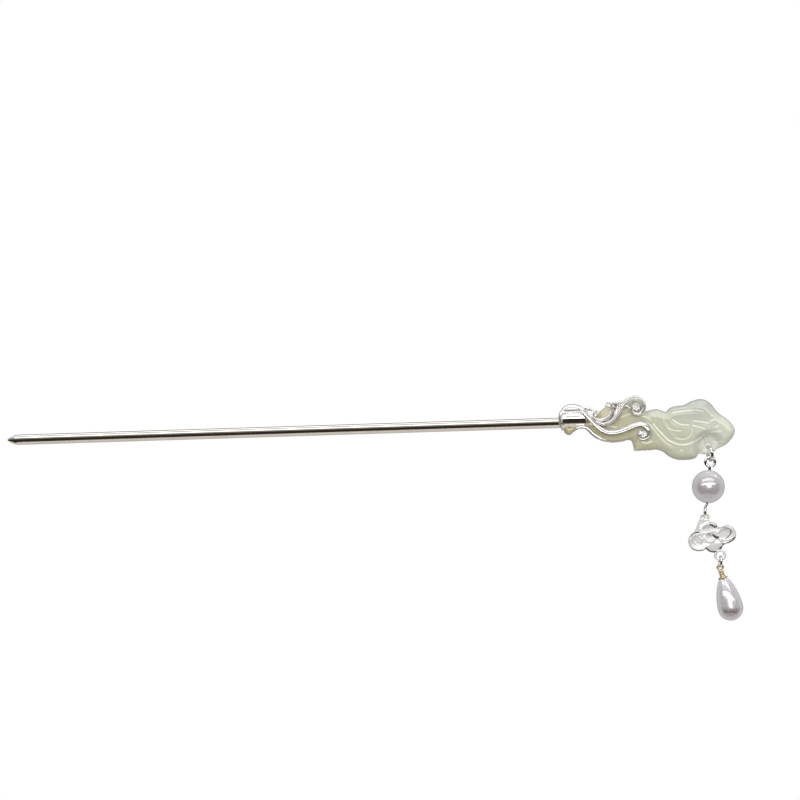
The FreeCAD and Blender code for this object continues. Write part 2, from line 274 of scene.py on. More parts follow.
def metal(name, light, dark, rough=(0.06, 0.16), scale=900.0, bump=0.02, metallic=1.0, coat=None,
          painted_shade=None):
    """Polished plating: patina between light and dark, fine rub marks, painted shade where marked."""
    mat, tree, bsdf = nodes_of(name)
    tone = noise(tree, scale * 0.3)
    colour = ramp(tree, tone.outputs["Fac"], [(0.35, dark), (0.6, light)])
    tree.links.new(colour.outputs["Color"], bsdf.inputs["Base Color"])
    # painted shade: the colour darkens to the given one, and the coat fades, where the attribute marks it
    if painted_shade:
        shade_attribute = new(tree, "ShaderNodeAttribute")
        shade_attribute.attribute_name = "painted_shade"
        shaded_colour = new(tree, "ShaderNodeMix", data_type="RGBA")
        tree.links.new(shade_attribute.outputs["Fac"], shaded_colour.inputs["Factor"])
        tree.links.new(colour.outputs["Color"], shaded_colour.inputs[6])
        shaded_colour.inputs[7].default_value = (*painted_shade, 1)
        tree.links.new(shaded_colour.outputs[2], bsdf.inputs["Base Color"])
        dull = new(tree, "ShaderNodeMapRange", To_Min=1.0, To_Max=0.0)
        tree.links.new(shade_attribute.outputs["Fac"], dull.inputs["Value"])
        tree.links.new(dull.outputs["Result"], bsdf.inputs["Coat Weight"])
    fine = noise(tree, scale * 2.2, 6)
    gloss = new(tree, "ShaderNodeMapRange", To_Min=rough[0], To_Max=rough[1])
    tree.links.new(fine.outputs["Fac"], gloss.inputs["Value"])
    tree.links.new(gloss.outputs["Result"], bsdf.inputs["Roughness"])
    bsdf.inputs["Metallic"].default_value = metallic
    if coat:
        if not painted_shade:
            bsdf.inputs["Coat Weight"].default_value = 1.0
        bsdf.inputs["Coat IOR"].default_value = coat
        bsdf.inputs["Coat Roughness"].default_value = 0.06
    lift = new(tree, "ShaderNodeBump", Strength=bump, Distance=0.00002)
    tree.links.new(fine.outputs["Fac"], lift.inputs["Height"])
    tree.links.new(lift.outputs["Normal"], bsdf.inputs["Normal"])
    return mat


def jade_material():
    """Pale celadon stone: browner at the stick, milky towards the nose, with painted highlights along the
    carving.
    """
    mat, tree, bsdf = nodes_of("jade_celadon")
    coord = new(tree, "ShaderNodeTexCoord")
    split = new(tree, "ShaderNodeSeparateXYZ")
    tree.links.new(coord.outputs["Object"], split.inputs["Vector"])
    cloud = noise(tree, 170.0, 5)
    spread = new(tree, "ShaderNodeMapRange", From_Min=0.002, From_Max=0.044, To_Min=-0.1, To_Max=0.85)
    tree.links.new(split.outputs["X"], spread.inputs["Value"])
    height = new(tree, "ShaderNodeMapRange", From_Min=-0.010, From_Max=0.005, To_Min=-0.09, To_Max=0.07)
    tree.links.new(split.outputs["Z"], height.inputs["Value"])
    lifted = new(tree, "ShaderNodeMath", operation="ADD")
    tree.links.new(spread.outputs["Result"], lifted.inputs[0])
    tree.links.new(height.outputs["Result"], lifted.inputs[1])
    mixer = new(tree, "ShaderNodeMath", operation="MULTIPLY_ADD")
    tree.links.new(cloud.outputs["Fac"], mixer.inputs[0])
    mixer.inputs[1].default_value = 0.22
    tree.links.new(lifted.outputs["Value"], mixer.inputs[2])
    tone = ramp(tree, mixer.outputs["Value"], [(0.08, (0.50, 0.46, 0.30)), (0.35, (0.56, 0.55, 0.40)),
                                               (0.58, (0.60, 0.61, 0.50)), (0.8, (0.66, 0.68, 0.59)),
                                               (0.98, (0.68, 0.70, 0.63))])
    # painted highlight: the colour pales to near white where the mesh attribute marks it
    painted_highlight = new(tree, "ShaderNodeAttribute")
    painted_highlight.attribute_name = "painted_highlight"
    pale = new(tree, "ShaderNodeMix", data_type="RGBA")
    tree.links.new(painted_highlight.outputs["Fac"], pale.inputs["Factor"])
    cool = new(tree, "ShaderNodeMapRange", From_Min=-0.001, From_Max=0.004, To_Min=0.12, To_Max=0.75)
    tree.links.new(split.outputs["Z"], cool.inputs["Value"])
    east = new(tree, "ShaderNodeMapRange", From_Min=0.017, From_Max=0.026)
    tree.links.new(split.outputs["X"], east.inputs["Value"])
    cooler = new(tree, "ShaderNodeMath", operation="MULTIPLY")
    tree.links.new(cool.outputs["Result"], cooler.inputs[0])
    tree.links.new(east.outputs["Result"], cooler.inputs[1])
    grey = new(tree, "ShaderNodeMix", data_type="RGBA")
    tree.links.new(cooler.outputs["Value"], grey.inputs["Factor"])
    tree.links.new(tone.outputs["Color"], grey.inputs[6])
    grey.inputs[7].default_value = (0.40, 0.425, 0.41, 1)
    tree.links.new(grey.outputs[2], pale.inputs[6])
    pale.inputs[7].default_value = (0.93, 0.94, 0.88, 1)
    tree.links.new(pale.outputs[2], bsdf.inputs["Base Color"])
    bsdf.inputs["Subsurface Weight"].default_value = 0.9
    bsdf.inputs["Subsurface Radius"].default_value = (1.0, 1.05, 0.75)
    bsdf.inputs["Subsurface Scale"].default_value = 0.0021
    bsdf.inputs["Roughness"].default_value = 0.15
    bsdf.inputs["IOR"].default_value = 1.61
    bsdf.inputs["Coat Weight"].default_value = 0.2
    bsdf.inputs["Coat Roughness"].default_value = 0.05
    grain = noise(tree, 1400.0, 5)
    lift = new(tree, "ShaderNodeBump", Strength=0.06, Distance=0.00006)
    tree.links.new(grain.outputs["Fac"], lift.inputs["Height"])
    tree.links.new(lift.outputs["Normal"], bsdf.inputs["Normal"])
    return mat


def pearl_material(name, core, edge, scale=260.0, foot=None):
    """Nacre with painted sheen, paler where it turns away; foot gives a painted shade's colour and the
    heights it fades in over.
    """
    mat, tree, bsdf = nodes_of(name)
    cloud = noise(tree, scale, 5)
    body = ramp(tree, cloud.outputs["Fac"], [(0.35, [c * 0.93 for c in core]), (0.65, core)])
    core_colour = body.outputs["Color"]
    # painted shade: from the high to the low height the colour darkens to the foot colour
    if foot:
        deep, high, low = foot
        coord = new(tree, "ShaderNodeTexCoord")
        split = new(tree, "ShaderNodeSeparateXYZ")
        tree.links.new(coord.outputs["Object"], split.inputs["Vector"])
        down = new(tree, "ShaderNodeMapRange", From_Min=high, From_Max=low)
        tree.links.new(split.outputs["Z"], down.inputs["Value"])
        painted_low_shade = new(tree, "ShaderNodeMix", data_type="RGBA")
        tree.links.new(down.outputs["Result"], painted_low_shade.inputs["Factor"])
        tree.links.new(core_colour, painted_low_shade.inputs[6])
        painted_low_shade.inputs[7].default_value = (*deep, 1)
        core_colour = painted_low_shade.outputs[2]
    # painted sheen: the colour pales towards the edge colour where the surface turns from the view
    turned = new(tree, "ShaderNodeLayerWeight", Blend=0.5)
    facing = new(tree, "ShaderNodeMapRange", From_Min=0.14, From_Max=0.5)
    tree.links.new(turned.outputs["Facing"], facing.inputs["Value"])
    painted_rim_sheen = new(tree, "ShaderNodeMix", data_type="RGBA")
    tree.links.new(facing.outputs["Result"], painted_rim_sheen.inputs["Factor"])
    tree.links.new(core_colour, painted_rim_sheen.inputs[6])
    painted_rim_sheen.inputs[7].default_value = (*edge, 1)
    tree.links.new(painted_rim_sheen.outputs[2], bsdf.inputs["Base Color"])
    bsdf.inputs["Subsurface Weight"].default_value = 0.15
    bsdf.inputs["Subsurface Radius"].default_value = (1.0, 0.9, 0.9)
    bsdf.inputs["Subsurface Scale"].default_value = 0.0005
    bsdf.inputs["Metallic"].default_value = 0.22
    bsdf.inputs["Roughness"].default_value = 0.26
    bsdf.inputs["Coat Weight"].default_value = 1.0
    bsdf.inputs["Coat Roughness"].default_value = 0.1
    bsdf.inputs["Coat IOR"].default_value = 2.1
    bsdf.inputs["Sheen Weight"].default_value = 0.35
    bsdf.inputs["Sheen Roughness"].default_value = 0.4
    bsdf.inputs["Sheen Tint"].default_value = (0.9, 0.86, 0.95, 1)
    return mat


def plain(name, colour, rough=0.6):
    """One flat colour, for staging."""
    mat, tree, bsdf = nodes_of(name)
    bsdf.inputs["Base Color"].default_value = (*colour, 1)
    bsdf.inputs["Roughness"].default_value = rough
    return mat


SILVER = metal("silver_plating", (0.93, 0.915, 0.89), (0.86, 0.84, 0.81))
SILVER_STICK = metal("silver_stick", (0.93, 0.89, 0.84), (0.86, 0.82, 0.77), (0.05, 0.12), 500.0, 0.008)
SCROLL = metal("silver_scroll", (0.96, 0.95, 0.93), (0.90, 0.89, 0.87), (0.07, 0.16), 900.0, 0.02, 0.76, 2.0)
SATIN = metal("silver_satin", (0.97, 0.965, 0.95), (0.93, 0.925, 0.91), (0.12, 0.24), 900.0, 0.03, 0.45, 2.2)
# near-black colour of the charm's painted shade in its creases and under its petals
PAINTED_SHADE_COLOUR = (0.012, 0.01, 0.008)
CHARM_SILVER = metal("silver_charm", (0.98, 0.975, 0.96), (0.95, 0.945, 0.93), (0.12, 0.24), 900.0, 0.03,
                     0.3, 2.0, PAINTED_SHADE_COLOUR)
RECESS = metal("silver_recess", (0.76, 0.76, 0.76), (0.64, 0.64, 0.64), (0.4, 0.6), 1500.0, 0.2, 0.25,
               painted_shade=PAINTED_SHADE_COLOUR)
GOLD = metal("gold_plating", (0.96, 0.86, 0.62), (0.80, 0.68, 0.44), (0.08, 0.2), metallic=0.8)
JADE = jade_material()
# the second colour of each pearl is its painted rim sheen
PEARL = pearl_material("grey_pearl", (0.52, 0.485, 0.51), (0.76, 0.745, 0.79))
# the drop's lowest part gets a painted shade of warm dark grey
DROP_PEARL = pearl_material("drop_pearl_nacre", (0.62, 0.60, 0.635), (0.80, 0.79, 0.83),
                            foot=((0.34, 0.29, 0.28), -0.0458, -0.0468))


# ---------------------------------------------------------------- stick and ferrule

def along_x(verts, z0=0.0):
    """Turn a lathe about Z into one about X, its z becoming x."""
    v = np.array(verts)
    return np.stack([v[:, 2], v[:, 1], z0 - v[:, 0]], 1)


NOSE_RADIUS, NOSE_LENGTH = 0.34, 0.3
stick_profile = [(0.04, STICK_TIP), (0.16, STICK_TIP + 0.03), (0.26, STICK_TIP + 0.12),
                 (NOSE_RADIUS, STICK_TIP + NOSE_LENGTH)]
for t in np.linspace(0.15, 1, 10):
    stick_profile.append((NOSE_RADIUS + (STICK_RADIUS - NOSE_RADIUS) * math.sin(t * math.pi / 2) ** 0.92,
                          STICK_TIP + NOSE_LENGTH + (STICK_SHOULDER - STICK_TIP - NOSE_LENGTH) * t * 1.12))
stick_profile += [(STICK_RADIUS, x) for x in np.linspace(-130.8, 0.6, 60)]
v, f = lathe(stick_profile)
add_piece("stick_shaft", [(along_x(v), f)], SILVER_STICK, "pin", ["stick"])

barrel = [(0.9, 0.0), (2.2, 0.0), (2.34, 0.06), (BARREL_RADIUS, 0.2)]
barrel += [(BARREL_RADIUS, x) for x in np.linspace(0.5, BARREL_LENGTH, 12)]
for t in np.linspace(0.15, math.pi / 2, 9):
    barrel.append((BARREL_RADIUS - 1.15 * (1 - math.cos(t)), BARREL_LENGTH + 1.2 * math.sin(t)))
barrel += [(0.6, BARREL_END + 0.02), (0.03, BARREL_END + 0.03)]
v, f = lathe(barrel, None, 192)
angle = np.arctan2(-v[:, 0], -v[:, 1])          # 0 faces the front, positive is up
for line in (16, 34, 52, 150, 180, 210):        # degrees round the barrel of its engraved lines
    groove = np.exp(-((np.degrees(angle) - line + 180) % 360 - 180) ** 2 / 4.0)
    groove *= np.clip((v[:, 2] - 0.5) / 0.5, 0, 1) * np.clip((5.0 - v[:, 2]) / 0.8, 0, 1)
    v[:, :2] *= (1 - 0.045 * groove)[:, None]
add_piece("ferrule_barrel", [(along_x(v, BARREL_RISE), f)], SILVER, "pin", ["ferrule"])


# ---------------------------------------------------------------- scroll strips

HALF_ROUND = [(-1.0, 0.0), (-1.0, 0.35), (-0.93, 0.55), (-0.8, 0.72), (-0.6, 0.87), (-0.32, 0.97), (0.0, 1.0),
              (0.32, 0.97), (0.6, 0.87), (0.8, 0.72), (0.93, 0.55), (1.0, 0.35), (1.0, 0.0)]
FLUTED = [(-1.0, 0.0), (-1.0, 0.55), (-0.95, 0.78), (-0.82, 0.94), (-0.66, 1.0), (-0.5, 0.93), (-0.38, 0.78),
          (-0.2, 0.66), (0.0, 0.62), (0.2, 0.66), (0.38, 0.78), (0.5, 0.93), (0.66, 1.0), (0.82, 0.94),
          (0.95, 0.78), (1.0, 0.55), (1.0, 0.0)]
LIPPED = [(-1.0, 0.0), (-1.0, 0.6), (-0.96, 0.84), (-0.86, 0.97), (-0.72, 1.0), (-0.5, 0.97),
          (-0.2, 0.91), (0.1, 0.84), (0.36, 0.77), (0.5, 0.68), (0.6, 0.6), (0.7, 0.66), (0.82, 0.66),
          (0.94, 0.5), (1.0, 0.3), (1.0, 0.0)]

MAIN = [(0.2, -1.9), (-0.35, -0.9), (-0.65, 0.8), (0.0, 2.9), (1.9, 4.05), (4.4, 3.5), (6.5, 1.15),
        (8.7, -1.2), (10.3, -2.3), (12.0, -2.65), (13.8, -2.4), (15.5, -1.85), (17.8, -1.0),
        (19.5, -0.95), (20.8, -2.3), (20.6, -3.7), (19.5, -4.4), (18.6, -4.0), (18.6, -3.1), (19.2, -2.9)]
UPPER = [(7.6, 0.7), (8.6, -0.15), (10.2, -0.6), (12.2, 0.3), (13.5, 1.9), (14.9, 4.0), (16.3, 5.1),
         (18.0, 5.5), (19.5, 4.4), (19.85, 2.9), (18.8, 1.6), (17.4, 1.8), (16.8, 2.9), (17.3, 4.0),
         (18.3, 4.2), (18.85, 3.4), (18.4, 2.7)]
LEAF = [(8.9, 1.7), (8.7, 2.35), (8.1, 2.4), (7.6, 1.7), (7.9, 0.9), (8.7, 0.45), (9.6, 0.35), (10.8, 0.75),
        (11.7, 1.7), (12.15, 3.1), (11.9, 4.1), (11.2, 4.45), (10.75, 4.0)]


def rosette(x, z, reach, count, turn, size):
    """Beads in a ring round a taller centre bead, in the eye of a curl."""
    angles = [k * 2 * math.pi / count + turn for k in range(count)]
    radii = (size, size + 0.06, size)
    beads = [ball((x + reach * math.cos(a), -FRONT - 0.4, z + reach * math.sin(a)), radii, 12, 18)
             for a in angles]
    beads.append(ball((x, -FRONT - 0.55, z), (0.34, 0.42, 0.34), 12, 18))
    return [bead + (1,) for bead in beads]


path = even(smooth_path(MAIN, 16), 0.12)
main_width = along(path, (0, 0.55), (0.12, 0.7), (0.3, 0.85), (0.45, 1.2), (0.62, 1.25), (0.78, 1.15),
                   (0.93, 0.95), (1, 0.6))
main_height = along(path, (0, 0.6), (0.2, 0.75), (0.5, 1.0), (0.8, 1.0), (1, 0.8))
parts = [strip(path, main_width, main_height, FRONT, LIPPED)]
parts += rosette(19.6, -3.3, 0.5, 6, 0.1, 0.3)
parts.append(ball((18.75, -FRONT - 0.35, -2.75), (0.36, 0.4, 0.34)) + (1,))
leaf_tip = even(smooth_path([(4.9, 3.35), (6.0, 3.35), (7.3, 2.75), (7.9, 2.9)], 10), 0.12)
parts.append(strip(leaf_tip, along(leaf_tip, (0, 0.3), (0.45, 0.95), (1, 0.12)),
                   along(leaf_tip, (0, 0.5), (0.5, 0.6), (1, 0.2)), FRONT - 0.3, HALF_ROUND))
strap = [(3.3, -1.45), (4.8, -1.2), (6.1, -1.7), (7.3, -2.95), (8.8, -3.95), (10.6, -4.55)]
strap = even(smooth_path(strap, 10), 0.12)
strap_width = along(strap, (0, 0.35), (0.35, 0.8), (0.7, 1.0), (1, 0.2))
parts.append(strip(strap, strap_width, 0.45, FRONT - 0.35, HALF_ROUND))
foot = even(smooth_path([(6.6, -0.5), (7.7, -0.85), (9.0, -2.1), (9.9, -2.7)], 10), 0.12)
parts.append(strip(foot, along(foot, (0, 0.5), (0.3, 0.45), (1, 0.1)), 0.55, FRONT - 0.1, HALF_ROUND))
add_piece("main_scroll_strip", parts, [SCROLL, SATIN], "pin", ["main_scroll"])

path = even(smooth_path(UPPER, 16), 0.12)
upper_width = along(path, (0, 0.5), (0.15, 1.0), (0.35, 1.2), (0.5, 1.15), (0.7, 0.9), (0.85, 0.6), (1, 0.4))
parts = [strip(path, upper_width, 1.0, FRONT, FLUTED)]
parts += rosette(17.95, 3.25, 0.62, 7, 0.3, 0.36)
petal = even(smooth_path([(14.6, 3.3), (15.6, 3.6), (16.3, 3.1), (16.9, 2.4)], 10), 0.12)
parts.append(strip(petal, along(petal, (0, 0.3), (0.5, 0.6), (1, 0.3)), 0.6, FRONT, HALF_ROUND))
add_piece("upper_scroll_strip", parts, [SCROLL, SATIN], "pin", ["upper_scroll"])

path = even(smooth_path(LEAF, 16), 0.1)
leaf_width = along(path, (0, 0.4), (0.25, 0.6), (0.5, 0.9), (0.75, 0.8), (1, 0.45))
parts = [strip(path, leaf_width, 0.95, FRONT, FLUTED)]
parts.append(ball((8.5, -FRONT - 0.45, 2.05), (0.46, 0.5, 0.44)) + (1,))
parts.append(ball((10.75, -FRONT - 0.45, 3.85), (0.42, 0.5, 0.42)) + (1,))
add_piece("leaf_scroll_strip", parts, [SCROLL, SATIN], "pin", ["leaf_scroll"])

ribs = []
for k in range(4):
    t = k / 3
    rib = [(12.5 + 1.15 * t, 4.35 - 0.1 * t), (12.6 + 0.75 * t, 3.0), (12.5 + 0.1 * t, 1.3)]
    rib = even(smooth_path(rib, 10), 0.12)
    ribs.append(strip(rib, along(rib, (0, 0.46), (1, 0.25)), 0.62 + 0.1 * (k % 2), FRONT, HALF_ROUND))
cross = even(smooth_path([(12.2, 4.4), (13.2, 4.3), (14.4, 4.35)], 8), 0.12)
ribs.append(strip(cross, 0.42, 0.8, FRONT, HALF_ROUND))
add_piece("scroll_bridge_ribs", ribs, SILVER, "pin", ["scroll_bridge"])


# ---------------------------------------------------------------- jade carving

JADE_OUTLINE = [(0.4, -0.6), (0.5, -2.3), (1.2, -2.9), (1.8, -3.15), (2.5, -2.5), (3.4, -1.9), (4.6, -1.5),
                (5.9, -1.8), (7.2, -3.2), (8.6, -4.3), (10.2, -4.85), (12.2, -5.15), (14.4, -5.05),
                (16.2, -4.7), (16.9, -5.3), (17.1, -6.9), (18.0, -7.4), (20.3, -7.3), (22.6, -7.25),
                (24.2, -7.8), (25.4, -8.8), (27.2, -9.7), (29.2, -9.95), (31.2, -9.8), (32.2, -9.4),
                (32.7, -8.65), (33.2, -8.5), (33.9, -8.68), (34.7, -8.76), (35.6, -8.62), (36.6, -8.1),
                (37.4, -7.5), (38.9, -6.8), (40.1, -6.0), (41.3, -4.6), (41.8, -3.1), (41.1, -1.6),
                (39.9, -0.3), (38.3, 0.9), (37.2, 2.1), (36.2, 3.4), (34.9, 4.4), (33.3, 4.7), (31.3, 4.2),
                (29.6, 3.4), (27.4, 3.15), (26.1, 2.7), (25.2, 1.9), (24.2, 2.2), (22.9, 2.6), (21.4, 2.4),
                (20.3, 2.3), (19.9, 3.8), (19.0, 5.2), (17.4, 5.4), (15.8, 4.7), (14.6, 3.9), (12.6, 3.4),
                (11.0, 3.6), (9.4, 2.6), (8.4, 1.5), (7.0, 0.9), (5.0, -0.4), (2.4, -0.9)]
# carved lines: points on the front, relief (negative is cut in), width, brightness of the painted highlight
CARVED = [
    ([(22.0, -1.1), (23.7, -3.2), (25.7, -5.2), (28.7, -6.3), (31.8, -5.6), (34.2, -3.9)], 0.34, 0.36, 0.95),
    ([(26.7, -0.2), (28.4, -1.3), (30.5, -1.6)], 0.28, 0.3, 0.95),
    ([(25.6, -2.3), (26.9, -2.8), (28.5, -3.0)], 0.2, 0.34, 0.3),
    ([(27.0, -4.6), (28.8, -5.0), (30.1, -4.8), (31.2, -3.8), (31.2, -2.6)], 0.26, 0.34, 0.45),
    ([(26.7, 1.5), (28.0, 1.75), (30.0, 1.95), (31.6, 1.9)], 0.3, 0.3, 0.85),
    ([(32.2, 1.95), (33.2, 1.9), (33.9, 1.6)], 0.2, 0.3, 0.5),
    ([(31.7, -0.7), (33.4, -0.9), (35.2, -1.3)], 0.24, 0.32, 0.5),
    ([(31.5, -1.8), (33.1, -2.2), (34.6, -2.7)], 0.26, 0.32, 0.5),
    ([(35.7, -3.4), (36.9, -3.3), (38.3, -3.3)], 0.3, 0.3, 0.8),
    ([(35.2, -3.0), (35.4, -1.6), (36.4, -0.6), (37.5, -0.8), (37.9, -1.8), (37.1, -2.4)], 0.24, 0.36, 0.2),
    ([(33.2, 2.6), (34.5, 2.3), (35.4, 1.5), (36.0, 0.4)], 0.26, 0.4, 0.3),
    ([(35.6, -5.9), (37.0, -5.95), (38.6, -5.6)], 0.26, 0.34, 0.6),
    ([(25.0, 1.6), (24.5, -0.2), (25.2, -2.0), (26.3, -3.6), (27.4, -4.4)], 0.2, 0.6, 0.1),
    ([(21.8, 1.4), (22.5, 0.2), (22.1, -1.1)], 0.2, 0.6, 0.15),
    ([(20.8, -0.9), (22.3, -3.0), (24.0, -5.2), (26.2, -7.0)], 0.22, 0.7, 0.05),
    ([(10.4, -0.9), (11.8, -1.3), (13.0, -1.6)], 0.22, 0.3, 0.8),
    ([(10.2, -4.2), (13.0, -4.4), (15.8, -4.0)], 0.2, 0.4, 0.3),
    ([(19.3, -5.4), (20.4, -5.6), (21.4, -5.2)], 0.28, 0.36, 0.85),
    ([(14.2, 0.7), (15.4, 1.3), (16.6, 1.5)], 0.2, 0.4, 0.4),
    ([(19.8, 1.4), (20.6, 0.4), (21.6, -0.4)], 0.24, 0.5, 0.3),
    ([(23.2, -6.9), (25.0, -7.6), (26.6, -8.4)], 0.2, 0.5, 0.1),
    ([(28.2, -7.6), (28.9, -7.6)], 0.24, 0.3, 0.7),
    ([(33.6, -7.6), (33.2, -8.2), (32.9, -8.9)], -1.3, 0.4, 0.0),
    ([(33.8, -4.4), (34.3, -5.6), (34.2, -6.6)], -0.6, 0.5, 0.0),
]
HOLE, HOLE_R = np.array([35.3, -6.75]), 0.66


def edge_distance(p, loop):
    """Distance to a closed outline, positive inside, and the step back to it."""
    a, b = loop, np.roll(loop, -1, 0)
    best = np.full(len(p), 1e9)
    inside = np.zeros(len(p), bool)
    nearest = np.zeros_like(p)
    for s, e in zip(a, b):
        d = e - s
        t = np.clip(((p - s) @ d) / (d @ d), 0, 1)
        q = s + t[:, None] * d
        r = np.linalg.norm(p - q, axis=1)
        closer = r < best
        best[closer], nearest[closer] = r[closer], q[closer]
        crosses = (s[1] > p[:, 1]) != (e[1] > p[:, 1])
        x = (e[0] - s[0]) * (p[:, 1] - s[1]) / (e[1] - s[1] + 1e-12) + s[0]
        inside ^= crosses & (p[:, 0] < x)
    return np.where(inside, best, -best), nearest


def line_distance(p, line):
    """Distance to an open run of points."""
    best = np.full(len(p), 1e9)
    for s, e in zip(line, line[1:]):
        d = e - s
        t = np.clip(((p - s) @ d) / (d @ d + 1e-12), 0, 1)
        best = np.minimum(best, np.linalg.norm(p - s - t[:, None] * d, axis=1))
    return best


def plate(loop, step, thickness, back, hole=None):
    """Closed plate in X-Z; thickness and back give its two heights from (points, depth from edge)."""
    lo, hi = loop.min(0) - step * 2, loop.max(0) + step * 2
    xs, zs = np.arange(lo[0], hi[0], step), np.arange(lo[1], hi[1], step)
    grid = np.stack(np.meshgrid(xs, zs, indexing="ij"), -1).reshape(-1, 2)
    d, near = edge_distance(grid, loop)
    if hole is not None:
        centre, r = hole
        away = grid - centre
        dist = np.linalg.norm(away, axis=1)
        dh = dist - r
        swap = dh < d
        near[swap] = centre + away[swap] / (dist[swap][:, None] + 1e-9) * r
        d = np.minimum(d, dh)
    snap = np.abs(d) < step * 0.75
    outside_far = d <= -step * 0.75
    grid[snap] = near[snap]
    d[snap] = 0
    n, m = len(xs), len(zs)
    index = np.arange(n * m).reshape(n, m)
    quads = np.stack([index[:-1, :-1], index[1:, :-1], index[1:, 1:], index[:-1, 1:]], -1).reshape(-1, 4)
    keep = ~outside_far[quads].any(1) & (d[quads].max(1) > 0)
    quads = quads[keep]
    used = np.unique(quads)
    remap = np.full(n * m, -1)
    remap[used] = np.arange(len(used))
    p, depth = grid[used], d[used]
    up, down = thickness(p, depth), back(p, depth)
    rim = depth <= 0
    front = np.stack([p[:, 0], -up, p[:, 1]], 1)
    rear = np.stack([p[:, 0], down, p[:, 1]], 1)
    count = len(used)
    rear_index = np.where(rim, np.arange(count), 0)
    rear_index[~rim] = count + np.arange((~rim).sum())
    verts = np.vstack([front, rear[~rim]])
    q = remap[quads]
    faces = [tuple(f) for f in q] + [tuple(rear_index[f][::-1]) for f in q]
    tidy = []
    for f in faces:
        g = [i for k, i in enumerate(f) if i != f[k - 1]]
        if len(set(g)) >= 3:
            tidy.append(tuple(g))
    return verts, tidy


def smooth_steps(x):
    """Eased step from 0 to 1."""
    x = np.clip(x, 0, 1)
    return x * x * (3 - 2 * x)


def jade_half(p, depth, front):
    """Height of the stone's front or back over its middle plane."""
    x, z = p[:, 0], p[:, 1]
    round_off = np.clip(depth / 1.9, 0, 1)
    dome = np.sqrt(1 - (1 - round_off) ** 2)
    full = 2.4 + 0.35 * smooth_steps((x - 20) / 6) * smooth_steps((39 - x) / 6)
    if front:
        full = np.where(x < 20, 2.4, full)
    ear = np.linalg.norm(p - HOLE, axis=1)
    full = 0.75 + (full - 0.75) * smooth_steps((ear - 2.0) / 2.4)
    t = full * dome
    if not front:
        return t
    near_root = smooth_steps((x - 20.5) / 3)
    for line, deep, wide, _ in CARVED:
        r = line_distance(p, smooth_path(line, 8))
        ridge = (0.2 if deep > 0 else 0.6) * deep * np.exp(-(r / (wide * 0.45)) ** 2)
        trough = 0.13 * abs(deep) * np.exp(-((r - wide * 1.2) / (wide * 0.7)) ** 2)
        t = t + (ridge - trough) * smooth_steps(depth / 0.7)
    # the raised ruyi swirl: a low boss inside the long arc
    boss = np.exp(-(((x - 29.0) / 3.6) ** 2 + ((z + 2.4) / 2.6) ** 2) ** 1.4)
    t += 0.18 * boss * near_root
    hollow = np.exp(-(((x - 24.6) / 1.2) ** 2 + ((z - 0.2) / 2.4) ** 2))
    t -= 0.16 * hollow * smooth_steps(depth / 1.2)
    fold = np.exp(-((z - 3.0 + 0.02 * (x - 31)) / 0.9) ** 2)
    fold = fold * smooth_steps((x - 29) / 2) * smooth_steps((37 - x) / 2)
    t -= 0.12 * fold * smooth_steps(depth / 1.0)
    return np.maximum(t, 0.25 * dome)


outline = smooth_path(JADE_OUTLINE, 8, closed=True)
rng = np.random.default_rng(7)
rough_edge = smooth_steps((24 - outline[:, 0]) / 4) * smooth_steps((-outline[:, 1] - 1.6) / 1.5)
outline += rng.normal(0, 0.075, outline.shape) * rough_edge[:, None]
verts, faces = plate(outline, 0.13, lambda p, d: jade_half(p, d, True), lambda p, d: jade_half(p, d, False),
                     (HOLE, HOLE_R))
jade = add_piece("jade_head", [(verts, faces)], JADE, "pin", ["jade_carving"], 60)
# painted highlight along the carved lines and round the hole, on the front faces only
painted_highlight = np.zeros(len(verts))
flat = verts[:, [0, 2]]
for line, deep, wide, bright in CARVED:
    near = np.exp(-(line_distance(flat, smooth_path(line, 8)) / (wide * 0.36)) ** 2)
    painted_highlight = np.maximum(painted_highlight, near * bright)
ear = np.linalg.norm(flat - HOLE, axis=1)
painted_highlight = np.maximum(painted_highlight, 0.45 * smooth_steps((3.1 - ear) / 1.6))
painted_highlight[verts[:, 1] > 0] = 0
jade.data.attributes.new("painted_highlight", "FLOAT", "POINT").data.foreach_set("value", painted_highlight)


# ---------------------------------------------------------------- rings, eye pin, pearls

def open_ring(f, mean, wire, centre_z, gap_deg=2.0, at_deg=0.0):
    """Edge-on jump ring (in the local Y-Z plane) with its cut ends just apart."""
    t = np.radians(np.linspace(gap_deg / 2, 360 - gap_deg / 2, 97) + at_deg)
    path_ = np.stack([np.zeros_like(t), mean * np.sin(t), centre_z + mean * np.cos(t)], 1)
    return tube(place(f, path_), wire, 18)


jump_ring = open_ring(RING, JUMP_RING_MEAN, JUMP_RING_WIRE, -JUMP_RING_MEAN, 2.0, 100)
add_piece("jump_ring_wire", [jump_ring], SILVER, "ring", ["jump_ring"])
lower_ring = open_ring(LINK, LOWER_RING_MEAN, LOWER_RING_WIRE, -LOWER_RING_MEAN, 2.5, 80)
add_piece("lower_ring_wire", [lower_ring], SILVER, "link", ["lower_ring"])


def circle(mean, centre, start, stop, n, plane):
    """Arc in the local X-Z plane (facing) or Y-Z plane (edge), in degrees."""
    t = np.radians(np.linspace(start, stop, n))
    a, b = mean * np.cos(t), mean * np.sin(t)
    zero = np.zeros_like(t)
    pts = (a, zero, b) if plane == "facing" else (zero, a, b)
    return np.stack(pts, 1) + np.array(centre)


